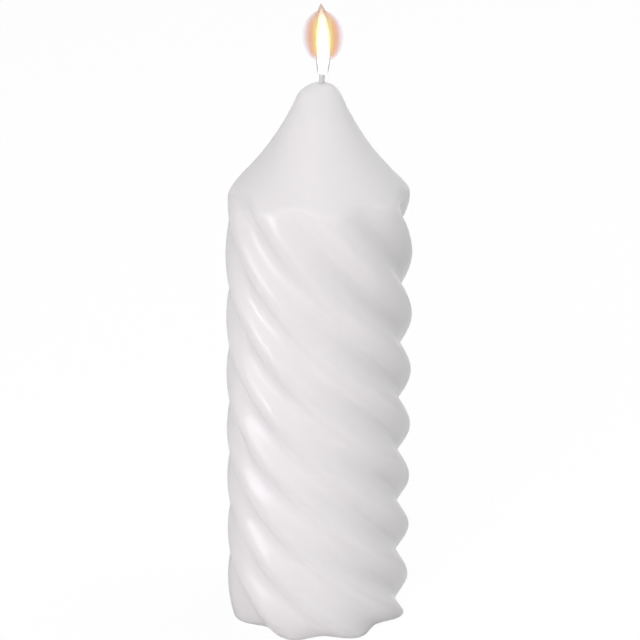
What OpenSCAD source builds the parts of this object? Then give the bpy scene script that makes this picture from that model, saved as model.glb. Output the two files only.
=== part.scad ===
// Spiral pillar candle, lit.
// A plain pressed wax core stands inside a jacket of hard white wax that is cast round it with
// left-hand spiral ridges and a drawn-in tip. A cotton wick runs up the axis from a metal foot
// in the base and carries the flame.
// Millimetres, +Z up. The origin is the centre of the base, on the surface the candle stands on,
// and the front faces -Y.

/* [Wax body] */
// Diameter over the ridges
ridge_d = 68; // [50:0.5:100]
// Height of the shoulder, where the ridges end and the tip begins
shoulder_h = 164.5; // [100:0.5:240]
// Rounding of the lower edge
base_round = 1.3; // [0.8:0.1:3]
// Width of the soft blend between the ridges and the tip
shoulder_blend = 1.6; // [1:0.1:4]

/* [Spiral] */
// Number of ridges
ridge_count = 8; // [5:1:12]
// Depth of the grooves below the ridges
groove_depth = 4.5; // [2:0.1:6]
// Height of one full turn of the spiral at the base
lead_base = 161.5; // [120:0.5:400]
// Height of one full turn of the spiral at the shoulder
lead_top = 234; // [120:0.5:400]
// How late the spiral opens from the one to the other: 1 is evenly, more is later
lead_ease = 2.7; // [1:0.1:4]
// Angle of one ridge at the base, from +X towards +Y
ridge_turn = -18.5; // [-45:0.5:45]

/* [Tip] */
// Height of the tip above the shoulder
tip_h = 40.5; // [34:0.5:60]
// Radius of the rounded end of the tip
tip_round_r = 8.7; // [5:0.1:9]
// Radius of the point that the flank of the tip is drawn in towards
waist_r = 16.5; // [13:0.5:20]
// Height of that point above the shoulder
waist_h = 16; // [12:0.5:18]

/* [Wax core] */
// Wall of the jacket at the bottom of the grooves
jacket_wall = 4.6; // [2:0.1:8]
// Wax round the wick at the top of the core
core_tip_wall = 2.4; // [1.5:0.1:4]
// Depth of the top of the core below the tip
core_cover = 12; // [9:0.5:16]

/* [Wick and foot] */
// Diameter of the wick
wick_d = 2.1; // [1.5:0.1:3]
// Length of wick above the tip
wick_out = 6; // [4.5:0.5:10]
// Diameter of the metal foot
foot_d = 20; // [14:0.5:28]
// Thickness of its sheet metal
foot_sheet = 0.4; // [0.2:0.05:0.8]
// Height of its crimped neck above the sheet
neck_h = 6; // [4:0.5:10]
// Depth of the foot's underside inside the base
foot_recess = 1; // [0.5:0.1:3]
// Gap between the rim of the foot and its pocket
foot_gap = 0.3; // [0.1:0.05:1]

/* [Flame] */
// Height of the flame's lower end above the tip
flame_lift = 3; // [2:0.1:4]
// Height of the flame
flame_h = 26; // [22:0.5:40]
// Diameter of its lower end
flame_foot_d = 3.6; // [3.2:0.1:4.4]
// Diameter where it is widest
flame_d = 5.6; // [4.6:0.1:8]
// Height of the widest place above the lower end
belly_h = 10.5; // [9:0.5:14]
// Height below it at which the lower end has swelled out
swell_h = 6.6; // [4:0.1:8]
// Height above it at which the sides begin to close to the point
taper_h = 18.5; // [15:0.5:21]
// Height of the veil's lower end above the flame's lower end
veil_low = 5.1; // [3:0.1:8]
// Depth of the veil's upper end below the flame's point
veil_top = 2.2; // [1:0.1:4]
// Radius of the veil at its middle
veil_r = 6.7; // [5:0.1:9]
// Thickness of the veil at its ends, at least
veil_edge = 0.2; // [0.1:0.05:0.5]

/* [Hidden] */
$fn = 96;

ridge_r = ridge_d / 2;
wax_h = shoulder_h + tip_h;
core_r = ridge_r - groove_depth - jacket_wall;
core_top = wax_h - core_cover;
wick_r = wick_d / 2;
wick_top = wax_h + wick_out;
foot_top = foot_recess + foot_sheet;
neck_r = wick_r + foot_sheet;
neck_top = foot_top + neck_h;
flame_base = wax_h + flame_lift;
// How far a cutting solid runs past the face that it opens
past = 1;

// Faces round one ridge, and rings up each stretch of the outer form
ridge_steps = round(80 / ridge_count);
around = ridge_steps * ridge_count;
base_steps = 3;
shaft_steps = 27;
blend_steps = 8;
flank_steps = 7;
round_steps = 5;
foot_steps = 5;
veil_steps = 20;
point_steps = 3;

// Place at share t of the curve that leaves a for b and comes from b into c
function curve(a, b, c, t) = a * pow(1 - t, 2) + b * 2 * t * (1 - t) + c * pow(t, 2);

// Share of such a curve at which it has risen to height z
function curve_share(a, b, c, z) =
    let (start = 2 * (b - a), bend = a - 2 * b + c)
    2 * (z - a) / (start + sqrt(start * start + 4 * bend * (z - a)));

// Smaller of two radii, with a soft blend where they are nearly the same
function soft_min(a, b) =
    let (share = max(0, min(1, 0.5 + (b - a) / (2 * shoulder_blend))))
    b * (1 - share) + a * share - shoulder_blend * share * (1 - share);

// Angle that the spiral has turned at height z. It stops turning at the shoulder.
function turn(z) =
    let (share = min(1, z / shoulder_h), opening = 1 / lead_top - 1 / lead_base)
    360 * shoulder_h * (share / lead_base + opening * pow(share, lead_ease + 1) / (lead_ease + 1));

// The tip in section: a flank drawn in towards the waist point, then the rounded end
shoulder = [ridge_r, shoulder_h];
waist = [waist_r, shoulder_h + waist_h];
round_centre = [0, wax_h - tip_round_r];
to_waist = waist - round_centre;
round_from = atan2(to_waist[1], to_waist[0]) + acos(tip_round_r / norm(to_waist));
function round_point(angle) = round_centre + tip_round_r * [cos(angle), sin(angle)];

// Radius of the flank at height z. Below the shoulder it runs on outwards in a straight line.
flank_end = round_point(round_from);
function flank_r(z) = z < shoulder_h
    ? ridge_r + (shoulder_h - z) * (ridge_r - waist_r) / waist_h
    : curve(shoulder[0], waist[0], flank_end[0], curve_share(shoulder[1], waist[1], flank_end[1], z));

// The rings of the outer form, each with its height, the radius of the tip there and the
// radius that the rounded lower edge takes away
blend_from = shoulder_h - shoulder_blend;
blend_to = shoulder_h + groove_depth + shoulder_blend;
function steps(from, to, count) = [for (i = [0 : count - 1]) from + (to - from) * i / count];
rings = concat(
    [for (a = steps(0, 90, base_steps))
        let (z = base_round * (1 - cos(a)))
        [z, flank_r(z), base_round * (1 - sin(a))]],
    [for (z = concat(
            steps(base_round, blend_from, shaft_steps),
            steps(blend_from, blend_to, blend_steps),
            steps(blend_to, flank_end[1], flank_steps)))
        [z, flank_r(z), 0]],
    [for (a = steps(round_from, 90, round_steps))
        let (p = round_point(a))
        [p[1], p[0], 0]]);

// Radius of a ring at a phase of the spiral, which is 0 on a ridge and 180 in a groove
function ring_r(ring, phase) =
    soft_min(ridge_r - groove_depth * (1 - cos(phase)) / 2 - ring[2], ring[1]);

// Outer form of the candle as one solid, with its edges laid along the spiral
module spiral_form() {
    top = (len(rings) - 1) * around;
    low_centre = top + around;
    high_centre = low_centre + 1;
    points = concat(
        [for (ring = rings, i = [0 : around - 1])
            let (
                r = ring_r(ring, 360 * i / ridge_steps),
                a = ridge_turn - turn(ring[0]) + 360 * i / around)
            [r * cos(a), r * sin(a), ring[0]]],
        [[0, 0, 0], [0, 0, wax_h]]);
    faces = [for (i = [0 : around - 1])
        let (next = (i + 1) % around)
        each concat(
            [[low_centre, i, next], [high_centre, top + next, top + i]],
            [for (below = [0 : around : top - 1])
                let (above = below + around)
                each [[below + i, above + i, above + next], [below + i, above + next, below + next]]])];
    polyhedron(points, faces);
}

// The core without its bores, from a given depth below the base
module core_form(depth) {
    rotate_extrude()
        polygon([[0, -depth], [core_r, -depth], [core_r, shoulder_h],
            [wick_r + core_tip_wall, core_top], [0, core_top]]);
}

// Pressed wax core, with a pocket and a bore for the foot and a bore for the wick
module wax_core() {
    color("#f4efe6")
        difference() {
            core_form(0);
            translate([0, 0, -past]) cylinder(d = foot_d + 2 * foot_gap, h = foot_top + past);
            translate([0, 0, -past]) cylinder(r = neck_r, h = neck_top + past);
            translate([0, 0, -past]) cylinder(r = wick_r, h = core_top + 2 * past);
        }
}

// Hard white wax cast round the core, bored for the wick at the tip
module spiral_jacket() {
    color("#f3f1f2")
        difference() {
            spiral_form();
            core_form(past);
            cylinder(r = wick_r, h = wax_h + past);
        }
}

// Primed cotton wick, from the underside of the foot into the flame
module wick() {
    color("#e6e2dd")
        translate([0, 0, foot_recess]) cylinder(r = wick_r, h = wick_top - foot_recess);
}

// Stamped sheet metal foot, with a neck that is crimped on the wick
module wick_sustainer() {
    color("#b9bcc0")
        difference() {
            translate([0, 0, foot_recess]) {
                cylinder(d = foot_d, h = foot_sheet);
                cylinder(r = neck_r, h = foot_sheet + neck_h);
            }
            cylinder(r = wick_r, h = neck_top + past);
        }
}

// Radius of the flame at height z above its lower end
belly_r = flame_d / 2;
foot_r = flame_foot_d / 2;
function flame_r(z) = z < belly_h
    ? curve(foot_r, belly_r, belly_r, curve_share(0, swell_h, belly_h, z))
    : curve(belly_r, belly_r, 0, curve_share(belly_h, taper_h, flame_h, z));

// Outline of the veil: an ellipse, where it stands outside the flame
veil_end = flame_h - veil_top;
veil_middle = (veil_low + veil_end) / 2;
veil_half = (veil_end - veil_low) / 2;
veil_points = [for (i = [1 : veil_steps - 1])
    let (
        angle = 180 * i / veil_steps,
        r = veil_r * sin(angle),
        z = veil_middle - veil_half * cos(angle))
    if (r > flame_r(z) + veil_edge) [r, z]];

// Heights of the edges round the flame. Those beside the veil are shared with it.
veil_first = veil_points[0][1];
veil_last = veil_points[len(veil_points) - 1][1];
flame_levels = concat(
    steps(0, veil_first, foot_steps),
    [for (p = veil_points) p[1]],
    [for (i = [1 : point_steps]) veil_last + (flame_h - veil_last) * i / point_steps]);

// Luminous body of the flame, open below where the wick reaches into it
module flame() {
    wick_in = wick_top - flame_base;
    color("#fff6d8")
        translate([0, 0, flame_base])
            rotate_extrude()
                polygon(concat(
                    [[0, wick_in], [wick_r, wick_in], [wick_r, 0]],
                    [for (z = flame_levels) [flame_r(z), z]]));
}

// Faint outer veil of the flame, thickest at its middle
module flame_veil() {
    color("#f4b878")
        translate([0, 0, flame_base])
            rotate_extrude()
                polygon(concat(
                    veil_points,
                    [for (i = [len(veil_points) - 1 : -1 : 0])
                        let (z = veil_points[i][1])
                        [flame_r(z), z]]));
}

wax_core();
spiral_jacket();
wick();
wick_sustainer();
flame();
flame_veil();
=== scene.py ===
import math

import bmesh
import bpy
from mathutils import Matrix, Vector, noise


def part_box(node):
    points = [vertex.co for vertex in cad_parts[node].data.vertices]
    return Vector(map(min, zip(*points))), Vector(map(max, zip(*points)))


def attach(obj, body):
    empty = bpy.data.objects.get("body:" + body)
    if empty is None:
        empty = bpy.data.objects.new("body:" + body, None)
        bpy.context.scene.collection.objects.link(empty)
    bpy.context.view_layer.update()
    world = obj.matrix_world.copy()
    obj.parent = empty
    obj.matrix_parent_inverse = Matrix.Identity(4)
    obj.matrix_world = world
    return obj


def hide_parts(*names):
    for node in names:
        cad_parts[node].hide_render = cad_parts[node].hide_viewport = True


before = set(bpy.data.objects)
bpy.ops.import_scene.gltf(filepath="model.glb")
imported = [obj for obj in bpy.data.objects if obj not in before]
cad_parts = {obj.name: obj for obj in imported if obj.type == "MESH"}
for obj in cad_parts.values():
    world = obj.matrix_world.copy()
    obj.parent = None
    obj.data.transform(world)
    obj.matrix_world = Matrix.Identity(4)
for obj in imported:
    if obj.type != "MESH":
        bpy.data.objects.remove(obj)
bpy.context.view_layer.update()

# Wick foot
# A disc stamped from tinned sheet steel, with a stiffening ring pressed into it and a neck drawn up in
# the middle and crimped on the wick. It lies in a shallow pocket of the base.
mm = 0.001
foot_low, foot_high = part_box("wick_sustainer")
wick_low, wick_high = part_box("wick")
wick_r = wick_high.x
foot_sheet = 0.4 * mm
ring_in_r = 5.0 * mm
ring_out_r = 7.6 * mm
ring_depth = 0.5 * mm
ring_steps = 12
rim_steps = 8
fold_steps = 6
neck_steps = 4
crimp_count = 6
crimp_depth = 0.1 * mm
foot_around = 96
weld_gap = 0.0002 * mm
tin_grain_size = 1.2 * mm
tin_grain_depth = 0.015 * mm
tin_patch_size = 5 * mm


class Signal:
    """A socket of a finish under construction. Arithmetic on it adds the nodes that do it."""

    def __init__(self, finish, socket):
        self.finish = finish
        self.socket = socket

    def combine(self, operation, first, second):
        return self.finish.node("ShaderNodeMath", {"operation": operation}, {0: first, 1: second})

    def __add__(self, other):
        return self.combine("ADD", self, other)

    def __sub__(self, other):
        return self.combine("SUBTRACT", self, other)

    def __rsub__(self, other):
        return self.combine("SUBTRACT", other, self)

    def __mul__(self, other):
        return self.combine("MULTIPLY", self, other)

    __rmul__ = __mul__


class Finish:
    """The nodes of a material or a world: its surface shader and what feeds it."""

    def __init__(self, owner, **constants):
        owner.use_nodes = True
        self.owner = owner
        self.tree = owner.node_tree
        self.output = self.tree.get_output_node("ALL")
        self.surface = self.output.inputs["Surface"].links[0].from_node
        self.feed(self.surface, {key.replace("_", " "): value for key, value in constants.items()})

    def feed(self, node, inputs):
        for key, value in inputs.items():
            if isinstance(value, Signal):
                self.tree.links.new(value.socket, node.inputs[key])
            else:
                node.inputs[key].default_value = value

    def node(self, kind, settings, inputs, output=0):
        """Any node: its settings first, then the values or links of its sockets."""
        made = self.tree.nodes.new(kind)
        for key, value in settings.items():
            if key == "stops":
                self.set_stops(made.color_ramp, value)
            else:
                setattr(made, key, value)
        self.feed(made, inputs)
        return Signal(self, made.outputs[output])

    def set_stops(self, ramp, stops):
        while len(ramp.elements) < len(stops):
            ramp.elements.new(1.0)
        for element, (place, colour) in zip(ramp.elements, stops):
            element.position = place
            element.color = (*colour, 1.0)

    def place(self):
        """The piece's own coordinates."""
        return self.node("ShaderNodeTexCoord", {}, {}, "Object")

    def height(self):
        return self.node("ShaderNodeSeparateXYZ", {}, {"Vector": self.place()}, "Z")

    def mottle(self, size, detail=2.0, rough=0.5, stretch=(1.0, 1.0, 1.0)):
        """Soft noise with blotches of about this size, which may be stretched."""
        place = self.node("ShaderNodeMapping", {}, {"Vector": self.place(), "Scale": stretch})
        return self.node("ShaderNodeTexNoise", {}, {
            "Vector": place, "Scale": 1 / size, "Detail": detail, "Roughness": rough})

    def ramp(self, value, stops):
        return self.node("ShaderNodeValToRGB", {"stops": stops}, {"Fac": value})

    def spread(self, value, low, high, to_low=0.0, to_high=1.0):
        """A value's range from low to high, spread over another range and held at its ends."""
        return self.node("ShaderNodeMapRange", {"interpolation_type": "SMOOTHSTEP"}, {
            "Value": value, "From Min": low, "From Max": high, "To Min": to_low, "To Max": to_high})

    def bump(self, height, depth):
        return self.node("ShaderNodeBump", {}, {"Height": height, "Strength": 1.0, "Distance": depth})


def roll(form, around, rows, place):
    """Adds a closed form, rolled from a flat grid. place(share of a turn, row) gives each point."""
    grid = bmesh.ops.create_grid(form, x_segments=around, y_segments=rows, size=0.5)
    for v in grid["verts"]:
        v.co = place(v.co.x + 0.5, round((v.co.y + 0.5) * rows))
    bmesh.ops.remove_doubles(form, verts=grid["verts"], dist=weld_gap)
    bmesh.ops.recalc_face_normals(form, faces=form.faces)


def turned(outline, shape=None):
    """Places points of an outline of (radius, height) round the axis. shape may change each radius."""
    def place(share, row):
        r, z = outline[row]
        angle = math.tau * share
        if shape:
            r = shape(r, z, angle)
        return r * math.cos(angle), r * math.sin(angle), z
    return place


def piece(name, form, finish, node):
    """Makes a form a finished piece that stands for a node."""
    mesh = bpy.data.meshes.new(name)
    form.to_mesh(mesh)
    form.free()
    mesh.shade_smooth()
    mesh.materials.append(finish.owner)
    made = bpy.data.objects.new(name, mesh)
    bpy.context.scene.collection.objects.link(made)
    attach(made, "root")
    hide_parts(node)
    return made


def spaced(start, end, count):
    """Evenly spaced values from start up to, and without, end."""
    return [start + (end - start) * i / count for i in range(count)]


def arc(centre, radius, start, end, steps):
    """Points of a round edge, from one angle to another in degrees."""
    angles = [math.radians(a) for a in spaced(start, end, steps) + [end]]
    return [(centre[0] + radius * math.cos(a), centre[1] + radius * math.sin(a)) for a in angles]


def pressed_ring(z):
    """The stiffening ring in section, pressed down from a level face of the sheet."""
    shares = [i / ring_steps for i in range(ring_steps + 1)]
    return [(ring_in_r + (ring_out_r - ring_in_r) * s, z - ring_depth * math.sin(math.pi * s) ** 2)
            for s in shares]


def crimped(r, z, angle):
    """Presses flats into the neck, which grip the wick."""
    on_neck = foot_upper + foot_sheet < z < foot_high.z and r > wick_r
    return r - crimp_depth * (1 + math.cos(crimp_count * angle)) / 2 if on_neck else r


foot_under = foot_low.z
foot_upper = foot_under + foot_sheet
foot_rim = (foot_high.x - foot_sheet / 2, foot_under + foot_sheet / 2)
neck_corner_r = wick_r + 2 * foot_sheet
foot_outline = (
    [(wick_r, foot_under)]
    + pressed_ring(foot_under)
    + arc(foot_rim, foot_sheet / 2, -90, 90, rim_steps)
    + pressed_ring(foot_upper)[::-1]
    + arc((neck_corner_r, foot_upper + foot_sheet), foot_sheet, 270, 180, fold_steps)
    + [(wick_r + foot_sheet, z)
       for z in spaced(foot_upper + foot_sheet, foot_high.z - foot_sheet, neck_steps)[1:]]
    + arc((wick_r + foot_sheet / 2, foot_high.z - foot_sheet / 2), foot_sheet / 2, 0, 180, fold_steps)
    + [(wick_r, foot_under)])
foot_form = bmesh.new()
roll(foot_form, foot_around, len(foot_outline) - 1, turned(foot_outline, crimped))

tin = Finish(bpy.data.materials.new("tinned_steel"), Metallic=1.0)
tin_grain = tin.mottle(tin_grain_size, 4.0, 0.6)
tin.feed(tin.surface, {
    "Base Color": tin.ramp(tin.mottle(tin_patch_size), [
        (0.3, (0.58, 0.59, 0.61)), (0.7, (0.74, 0.75, 0.77))]),
    "Roughness": tin.spread(tin_grain, 0.3, 0.7, 0.26, 0.42),
    "Normal": tin.bump(tin_grain, tin_grain_depth)})
piece("wick_foot", foot_form, tin, "wick_sustainer")

# Wick
# Three strands of cotton, twisted hard together and primed with wax, which makes them pale and stiff.
# It runs up the whole candle and comes out of the tip a little to one side of the middle.
strand_count = 3
strand_groove = 0.28 * mm
strand_lead = 7 * mm
wick_step = 0.6 * mm
wick_around = 36
wick_drift = 0.8 * mm
drift_from = wick_high.z - 30 * mm
drift_to = wick_high.z - 8 * mm
wick_rows = round((wick_high.z - wick_low.z) / wick_step)
fibre_size = 0.25 * mm
fibre_depth = 0.05 * mm
along_wick = (1.0, 1.0, 0.2)


def ease(low, high, x):
    """0 below low, 1 above high, and a smooth rise between."""
    share = min(1.0, max(0.0, (x - low) / (high - low)))
    return share * share * (3 - 2 * share)


def wick_x(z):
    """How far the wick stands off the axis at a height."""
    return wick_drift * ease(drift_from, drift_to, z)


def wick_point(share, row):
    z = wick_low.z + (wick_high.z - wick_low.z) * min(max(row - 1, 0), wick_rows) / wick_rows
    angle = math.tau * share
    twist = strand_count * (angle - math.tau * z / strand_lead)
    r = wick_r - strand_groove * (1 - math.sqrt(abs(math.cos(twist / 2))))
    if row in (0, wick_rows + 2):
        r = 0.0
    return wick_x(z) + r * math.cos(angle), r * math.sin(angle), z


wick_form = bmesh.new()
roll(wick_form, wick_around, wick_rows + 2, wick_point)
cotton = Finish(bpy.data.materials.new("primed_cotton"))
fibres = cotton.mottle(fibre_size, 3.0, 0.6, along_wick)
cotton.feed(cotton.surface, {
    "Base Color": cotton.ramp(fibres, [(0.25, (0.66, 0.65, 0.64)), (0.75, (0.84, 0.83, 0.82))]),
    "Roughness": cotton.spread(fibres, 0.3, 0.7, 0.5, 0.75),
    "Normal": cotton.bump(fibres, fibre_depth)})
piece("wick_cotton", wick_form, cotton, "wick")

# Wax core
# Wax granules pressed into a plain pillar and bored for the wick. Only its underside shows, as a disc
# with the grain of the pressing inside the ring of the jacket.
granule_size = 1.8 * mm
granule_depth = 0.12 * mm
grain = Finish(bpy.data.materials.new("pressed_wax"))
granules = grain.node("ShaderNodeTexVoronoi", {"feature": "F1"}, {
    "Vector": grain.place(), "Scale": 1 / granule_size, "Randomness": 1.0}, "Distance")
grain.feed(grain.surface, {
    "Base Color": grain.ramp(granules, [(0.15, (0.84, 0.81, 0.76)), (0.7, (0.74, 0.71, 0.66))]),
    "Roughness": grain.spread(granules, 0.2, 0.8, 0.5, 0.7),
    "Normal": grain.bump(1 - granules, granule_depth)})
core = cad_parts["wax_core"]
core.data.materials.clear()
core.data.materials.append(grain.owner)

# Spiral jacket
# Hard white wax cast round the core in a spiral mould. Eight rounded ridges climb to the left, open out
# towards the top and run out on a shoulder. Above it the tip draws in to a rounded end.
core_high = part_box("wax_core")[1]
core_r = core_high.x
core_tip_r = wick_r + 2.4 * mm
ridge_count = 8
ridge_r = 34 * mm
groove_depth = 4.6 * mm
shoulder_z = 164.4 * mm
shoulder_blend = 1.6 * mm
draw_in = 1.0 * mm
draw_in_h = 12 * mm
run_out = 0.35
run_out_h = 7 * mm
tip_z = shoulder_z + 41.1 * mm
tip_round_r = 9.0 * mm
waist = Vector((17 * mm, shoulder_z + 15.4 * mm))
lead_base = 162 * mm
lead_top = 235 * mm
lead_ease = 2.75
ridge_turn = math.radians(-18.4)
base_round = 1.3 * mm
jacket_around = 240
edge_rows, side_rows, blend_rows, flank_rows, round_rows = 10, 226, 48, 30, 18
blend_low = shoulder_z - 12 * mm
blend_high = shoulder_z + 4 * mm
swell = 0.2 * mm
swell_size = 26 * mm
ripple = 0.04 * mm
ripple_size = 8 * mm
even_h = 4 * base_round
wax_depth = 20 * mm
cloud_size = 30 * mm
cloud_depth = 0.05 * mm
bloom_size = 6 * mm
tip_light_from = shoulder_z + 15 * mm


def spiral_turn(z):
    """Angle that the spiral has turned at a height. It stops turning at the shoulder."""
    share = min(1.0, z / shoulder_z)
    opening = 1 / lead_top - 1 / lead_base
    return math.tau * shoulder_z * (
        share / lead_base + opening * share ** (lead_ease + 1) / (lead_ease + 1))


def soft_min(a, b):
    """The smaller of two radii, with a soft blend where they are nearly the same."""
    share = min(1.0, max(0.0, 0.5 + (b - a) / (2 * shoulder_blend)))
    return b * (1 - share) + a * share - shoulder_blend * share * (1 - share)


def bend(a, b, c, t):
    """The place at share t of a curve that leaves a for b and comes from b into c."""
    return a * (1 - t) ** 2 + b * 2 * t * (1 - t) + c * t ** 2


def bend_share(a, b, c, x):
    """The share of such a curve at which it has come to x."""
    start, turn = 2 * (b - a), a - 2 * b + c
    return 2 * (x - a) / (start + math.sqrt(start * start + 4 * turn * (x - a)))


round_centre = Vector((0, tip_z - tip_round_r))
to_waist = waist - round_centre
round_from = math.atan2(to_waist.y, to_waist.x) + math.acos(tip_round_r / to_waist.length)
flank_end = round_centre + tip_round_r * Vector((math.cos(round_from), math.sin(round_from)))


def flank_r(z):
    """Radius of the tip's flank at a height. Below the shoulder it runs on outwards."""
    if z < shoulder_z:
        return ridge_r + (shoulder_z - z) * (ridge_r - waist.x) / (waist.y - shoulder_z)
    share = bend_share(shoulder_z, waist.y, flank_end.y, z)
    return bend(ridge_r, waist.x, flank_end.x, share)


# Rows of the outer surface, from the edge of the base up to the wick. Each has its height, the radius
# that the tip allows there and the radius that the rounded lower edge takes away.
round_to = math.acos(wick_r / tip_round_r)
outer_rows = []
for angle in spaced(0.0, math.pi / 2, edge_rows):
    z = base_round * (1 - math.cos(angle))
    outer_rows.append((z, flank_r(z), base_round * (1 - math.sin(angle))))
for z in (spaced(base_round, blend_low, side_rows) + spaced(blend_low, blend_high, blend_rows)
          + spaced(blend_high, flank_end.y, flank_rows)):
    outer_rows.append((z, flank_r(z), 0.0))
for angle in spaced(round_from, round_to, round_rows) + [round_to]:
    z = round_centre.y + tip_round_r * math.sin(angle)
    outer_rows.append((z, tip_round_r * math.cos(angle), 0.0))

# The inside in section, from the wick down along the core to the base
inner_rows = [(wick_r, core_high.z), (core_tip_r, core_high.z), (core_r, shoulder_z), (core_r, 0.0)]


def jacket_point(share, row):
    angle = math.tau * share
    if row >= len(outer_rows):
        r, z = inner_rows[row - len(outer_rows)]
        angle += ridge_turn
        return r * math.cos(angle) + wick_x(z), r * math.sin(angle), z
    z, tip_r, loss = outer_rows[row]
    depth = groove_depth * (1 - run_out * ease(shoulder_z - run_out_h, shoulder_z, z))
    groove = depth * (1 - math.cos(ridge_count * angle)) / 2
    drawn = draw_in * min(1.0, max(0.0, 1 - (shoulder_z - z) / draw_in_h)) ** 2
    r = soft_min(ridge_r - groove - loss - drawn, tip_r)
    angle += ridge_turn - spiral_turn(z)
    out = Vector((math.cos(angle), math.sin(angle), 0))
    point = r * out + Vector((0, 0, z))
    fade = ease(wick_r, tip_round_r, r) * ease(0, even_h, z)
    uneven = swell * noise.noise(point / swell_size) + ripple * noise.noise(point / ripple_size)
    point += out * uneven * fade
    point.x += wick_x(z) * (1 - ease(wick_r, tip_round_r, r))
    return point


jacket_rows = len(outer_rows) + len(inner_rows)


def jacket_ring(share, row):
    """The section is closed: after its last row comes the first one again."""
    return jacket_point(share, row % jacket_rows)


jacket_form = bmesh.new()
roll(jacket_form, jacket_around, jacket_rows, jacket_ring)
wax = Finish(bpy.data.materials.new("hard_white_wax"), Subsurface_Weight=1.0,
             Subsurface_Radius=(1, 1, 1), Subsurface_Scale=wax_depth, IOR=1.44,
             Specular_IOR_Level=0.1, Coat_Weight=0.3, Coat_Roughness=0.04, Coat_IOR=1.44)
wax.surface.subsurface_method = "BURLEY"
clouding = wax.mottle(cloud_size, 3.0)
bloom = wax.mottle(bloom_size, 3.0, 0.6)
level = wax.node("ShaderNodeMapping", {}, {"Vector": wax.place(), "Scale": (1, 1, 0)})
radius = wax.node("ShaderNodeVectorMath", {"operation": "LENGTH"}, {0: level}, "Value")
# Painted light and shade: the ridge crowns are lighter in the colour than the grooves between them.
painted_crown_light = wax.spread(radius, ridge_r - groove_depth, ridge_r)
# Painted light: the tip above the shoulder is lighter in the colour, as if more light fell on it.
painted_tip_light = wax.spread(wax.height(), shoulder_z, tip_light_from)
wax.feed(wax.surface, {
    "Base Color": wax.ramp(0.45 * painted_crown_light + 0.4 * clouding + 0.65 * painted_tip_light, [
        (0.1, (0.842, 0.836, 0.844)), (0.9, (0.88, 0.874, 0.882))]),
    "Roughness": wax.spread(bloom, 0.3, 0.7, 0.32, 0.4),
    "Normal": wax.bump(clouding, cloud_depth)})
piece("spiral_wax_jacket", jacket_form, wax, "spiral_jacket")

# Flame
# The bright body of the flame stands round the end of the wick. It is white, turns yellow towards its
# point and its sides and has a thin duller edge. It is clear at its foot and leans a little as it burns.
flame_low, flame_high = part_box("flame")
flame_base = flame_low.z
flame_rise = 0.6 * mm
flame_h = flame_high.z - flame_base + flame_rise
flame_foot_r = 1.8 * mm
belly_r = flame_high.x
belly_h = 13 * mm
swell_h = 6.6 * mm
taper_h = 22.5 * mm
edge_w = 0.4 * mm
yellow_w = 0.6 * mm
tip_edge_w = 0.5 * mm
lean_foot, lean_belly, lean_tip = 1.1 * mm, 1.6 * mm, 0.4 * mm
flame_around = 48
flame_rows = 48
flame_levels = spaced(0.0, flame_h, flame_rows) + [flame_h]
clear_to, bright_from = flame_base + 0.3 * mm, flame_base + 1.8 * mm
dense_to, thin_from = flame_base + 5 * mm, flame_base + 9 * mm
edge_from = flame_base + 3 * mm
yellow_alpha = 0.5
edge_alpha = 0.4
body_glow, yellow_glow, edge_glow = 12.0, 8.0, 2.0


def flame_r(h):
    """Radius of the flame at a height above its lower end."""
    if h < belly_h:
        return bend(flame_foot_r, belly_r, belly_r, bend_share(0.0, swell_h, belly_h, h))
    return bend(belly_r, belly_r, 0.0, bend_share(belly_h, taper_h, flame_h, h))


def leaning(outline):
    """Places an outline round the flame's axis, which bends slowly to one side and back."""
    upright = turned(outline)

    def place(share, row):
        x, y, z = upright(share, row)
        return x + bend(lean_foot, lean_belly, lean_tip, (z - flame_base) / flame_h), y, z
    return place


def glowing(name, strength):
    """A finish that gives light and has no surface of its own."""
    return Finish(bpy.data.materials.new(name), Base_Color=(0, 0, 0, 1), Roughness=1.0,
                  Specular_IOR_Level=0.0, Emission_Strength=strength)


def burning(made):
    """A flame throws no shadow, and its own light is lost beside the studio's."""
    made.visible_shadow = False
    made.visible_diffuse = False
    made.visible_glossy = False


def flame_form(inset, tip_inset):
    """The flame drawn in by an inset, and above its belly by more and more."""
    outline = []
    for h in flame_levels:
        above = max(0.0, h - belly_h) / (flame_h - belly_h)
        outline.append((max(0.0, flame_r(h) - inset - tip_inset * above), flame_base + h))
    form = bmesh.new()
    roll(form, flame_around, len(outline), leaning([(0.0, flame_base)] + outline))
    return form


def risen(finish):
    """Share of the flame's height at a point."""
    return (finish.height() - flame_base) * (1 / flame_h)


glow = glowing("flame_light", body_glow)
glow.feed(glow.surface, {
    "Emission Color": glow.ramp(risen(glow), [
        (0.16, (0.13, 0.13, 0.13)), (0.3, (1.0, 1.0, 0.97)), (0.75, (1.0, 1.0, 0.9)),
        (0.83, (0.8, 0.78, 0.6)), (0.88, (0.13, 0.12, 0.1)), (0.94, (0.08, 0.07, 0.06))]),
    "Alpha": glow.spread(glow.height(), clear_to, bright_from)})
burning(piece("flame_body", flame_form(edge_w + yellow_w, tip_edge_w), glow, "flame"))

yellow = glowing("flame_yellow", yellow_glow)
yellow_start = yellow.spread(yellow.height(), clear_to, bright_from)
yellow_thinning = yellow.spread(yellow.height(), dense_to, thin_from, 1.0, yellow_alpha)
yellow.feed(yellow.surface, {
    "Emission Color": yellow.ramp(risen(yellow), [
        (0.16, (0.2, 0.2, 0.2)), (0.3, (1.0, 1.0, 0.97)), (0.5, (1.0, 1.0, 0.6)),
        (0.75, (1.0, 1.0, 0.5)), (0.83, (0.8, 0.78, 0.45)), (0.88, (0.2, 0.18, 0.14)),
        (0.94, (0.12, 0.1, 0.085))]),
    "Alpha": yellow_start * yellow_thinning})
burning(piece("flame_yellow", flame_form(edge_w, tip_edge_w), yellow, "flame"))

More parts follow.
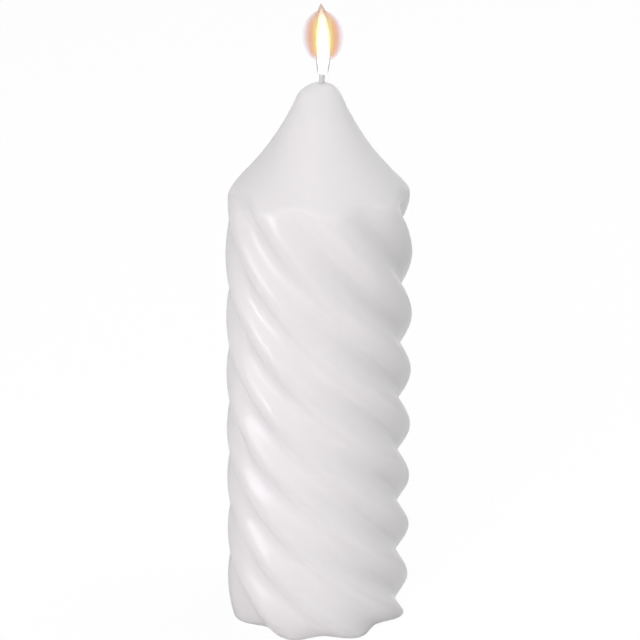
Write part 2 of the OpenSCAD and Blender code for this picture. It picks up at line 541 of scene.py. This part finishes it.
edge = glowing("flame_edge", edge_glow)
edge.feed(edge.surface, {
    "Emission Color": edge.ramp(risen(edge), [
        (0.15, (0.1, 0.1, 0.1)), (0.25, (0.1, 0.08, 0.08)), (0.34, (0.3, 0.26, 0.18)),
        (0.42, (0.68, 0.8, 0.4)), (0.62, (0.68, 0.8, 0.4)), (0.76, (0.24, 0.13, 0.06)),
        (1.0, (0.25, 0.13, 0.09))]),
    "Alpha": edge.spread(edge.height(), flame_base, edge_from, 0.0, edge_alpha)})
burning(piece("flame_edge", flame_form(0.0, 0.0), edge, "flame"))

# Flame veil
# A halo of the flame's light, painted round it as a glow: amber beside it, then salmon and rose,
# thinning out to nothing.
# It is built up from clear layers, one inside the other.
veil_wider = 0.6 * mm
veil_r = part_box("flame_veil")[1].x + veil_wider
veil_from = flame_base + 5.1 * mm
veil_to = flame_base + flame_h - 2.8 * mm
veil_steps = 40
layer_count = 8
layer_name = "layer"
halo_glow = 2.5
halo_alpha = 0.21
inner_gain, outward_loss = 1.3, 0.55
halo_clear_to, halo_full_from = veil_from + 2.5 * mm, veil_from + 6 * mm
outward_drop = 3 * mm
body_to, point_from = flame_base + 19.5 * mm, flame_base + 22.5 * mm


def veil_outline(share):
    """One layer in section, at a share of the way from the flame to the veil's outer ellipse."""
    middle, half = (veil_from + veil_to) / 2, (veil_to - veil_from) / 2
    outline = []
    for a in spaced(0.0, math.pi, veil_steps)[1:]:
        z = middle - half * math.cos(a)
        inner, outer = flame_r(z - flame_base), veil_r * math.sin(a)
        if outer > inner:
            outline.append((inner + (outer - inner) * share, z))
    return [(0.0, outline[0][1])] + outline + [(0.0, outline[-1][1])]


veil_form = bmesh.new()
layer_value = veil_form.verts.layers.float.new(layer_name)
for number in range(1, layer_count + 1):
    share = number / layer_count
    outline = veil_outline(share)
    older = len(veil_form.verts)
    roll(veil_form, flame_around, len(outline) - 1, leaning(outline))
    veil_form.verts.ensure_lookup_table()
    for v in veil_form.verts[older:]:
        v[layer_value] = share

# Painted glow: the halo of the flame's light, given as emission in clear layers.
painted_halo = glowing("painted_flame_halo", halo_glow)
halo_layer = painted_halo.node("ShaderNodeAttribute", {"attribute_name": layer_name}, {}, "Fac")
body_halo = painted_halo.ramp(halo_layer, [
    (0.125, (0.5, 0.8, 0.4)), (0.25, (0.43, 0.45, 0.0)), (0.375, (0.4, 0.22, 0.0)),
    (0.5, (0.36, 0.14, 0.0)), (0.625, (0.32, 0.12, 0.0)), (0.75, (0.3, 0.15, 0.06)),
    (0.875, (0.32, 0.2, 0.22)), (1.0, (0.32, 0.24, 0.26))])
point_halo = painted_halo.ramp(halo_layer, [
    (0.125, (0.22, 0.14, 0.06)), (0.375, (0.28, 0.16, 0.05)), (0.625, (0.32, 0.18, 0.13)),
    (1.0, (0.34, 0.28, 0.28))])
halo_start = painted_halo.spread(painted_halo.height() + outward_drop * halo_layer, halo_clear_to, halo_full_from,
                         0.0, halo_alpha)
painted_halo.feed(painted_halo.surface, {
    "Emission Color": painted_halo.node("ShaderNodeMix", {"data_type": "RGBA"}, {
        "Factor": painted_halo.spread(painted_halo.height(), body_to, point_from),
        "A": body_halo, "B": point_halo}, "Result"),
    "Alpha": halo_start * (inner_gain - outward_loss * halo_layer)})
burning(piece("flame_veil_layers", veil_form, painted_halo, "flame_veil"))

# Studio
# A white floor that runs out of the picture on all sides, a large soft lamp in front, weaker ones at the
# sides and behind, and an even white room. A small lamp close by shows only in the gloss of the wax.
plain_white = (1.0, 1.0, 1.0, 1.0)
room_light = 0.315
floor_size = 8.0
floor_gap = 0.2 * mm
floor_colour = (0.65, 0.65, 0.65, 1.0)
floor_white = 0.88
floor_glow = 1.07
warm, neutral = (1.0, 0.95, 0.97), (1.0, 1.0, 1.0)
soft_away, soft_size = 1.5, 0.9
key_away, key_width, key_height = 0.34, 0.22, 0.06
aim = Vector((0, 0, 0.1))


def seen(finish):
    """1 for what the camera sees straight, in a gloss or through glass, and 0 for other light."""
    rays = [finish.node("ShaderNodeLightPath", {}, {}, f"Is {kind} Ray")
            for kind in ("Camera", "Glossy", "Transmission")]
    return rays[0] + rays[1] + rays[2]


room = Finish(bpy.data.worlds.new("white_room"), Color=plain_white)
room.feed(room.surface, {"Strength": room.spread(seen(room), 0.0, 1.0, room_light, 1.0)})
bpy.context.scene.world = room.owner

floor_form = bmesh.new()
bmesh.ops.create_grid(floor_form, x_segments=1, y_segments=1, size=floor_size / 2)
bmesh.ops.translate(floor_form, verts=floor_form.verts, vec=(0, 0, -floor_gap))
floor_mesh = bpy.data.meshes.new("floor")
floor_form.to_mesh(floor_mesh)
floor_form.free()
floor = bpy.data.objects.new("floor", floor_mesh)
bpy.context.scene.collection.objects.link(floor)
paper = Finish(bpy.data.materials.new("white_floor"), Base_Color=floor_colour, Roughness=1.0,
               Specular_IOR_Level=0.0)
white = paper.node("ShaderNodeEmission", {}, {"Color": plain_white, "Strength": floor_glow})
paper.feed(paper.output, {"Surface": paper.node("ShaderNodeMixShader", {}, {
    0: floor_white * seen(paper), 1: Signal(paper, paper.surface.outputs[0]), 2: white})})
floor_mesh.materials.append(paper.owner)


def aimed(eye, target, axis):
    """A place and a turn that points an axis from eye to target, with +Y upright."""
    return Matrix.Translation(eye) @ (target - eye).to_track_quat(axis, "Y").to_matrix().to_4x4()


def lamp(name, azimuth, elevation, distance, width, height, watts, tint, glint=False):
    """An area lamp that looks at the middle of the candle, placed by its direction from there."""
    a, e = math.radians(azimuth), math.radians(elevation)
    out = Vector((math.sin(a) * math.cos(e), -math.cos(a) * math.cos(e), math.sin(e)))
    data = bpy.data.lights.new(name, "AREA")
    data.shape = "RECTANGLE"
    data.size = width
    data.size_y = height
    data.energy = watts
    data.color = tint
    made = bpy.data.objects.new(name, data)
    made.visible_glossy = glint
    made.visible_diffuse = not glint
    made.matrix_world = aimed(aim + out * distance, aim, "-Z")
    bpy.context.scene.collection.objects.link(made)


lamp("key", -36, 24, key_away, key_width, key_height, 0.5, warm, True)
lamp("front", -20, 21, soft_away, soft_size, soft_size, 11.5, warm)
lamp("left", -85, 4, soft_away, soft_size, soft_size, 1.2, warm)
lamp("right", 80, 40, soft_away, soft_size, soft_size, 0.7, neutral)
lamp("rear", 120, 65, soft_away, soft_size, soft_size, 7.0, neutral)

# Camera
# It stands a little over a metre off, looks down on the candle and leans by a hair, as in the photo. The
# flame has many clear layers, so its light may pass more of them than usual.
clear_layers = 40
image_px = 640
focal_px = 3065
px = 0.3688 * mm
elevation = math.radians(22)
roll_angle = 0.0033
look_z = 96 * mm
look_px = Vector((318.8, 367.8))
back = Vector((0, -math.cos(elevation), math.sin(elevation)))
up = Vector((0, math.sin(elevation), math.cos(elevation)))
look = Vector((0, 0, look_z))
eye = look + back * focal_px * px
target = look + up * (look_px.y - image_px / 2) * px
target.x += (image_px / 2 - look_px.x) * px
lens = bpy.data.cameras.new("camera")
lens.sensor_width = 36
lens.lens = lens.sensor_width * focal_px / image_px
camera = bpy.data.objects.new("camera", lens)
camera.matrix_world = aimed(eye, target, "-Z") @ Matrix.Rotation(roll_angle, 4, "Z")
bpy.context.scene.collection.objects.link(camera)
bpy.context.scene.camera = camera
bpy.context.scene.view_settings.view_transform = "Standard"
bpy.context.scene.cycles.transparent_max_bounces = clear_layers
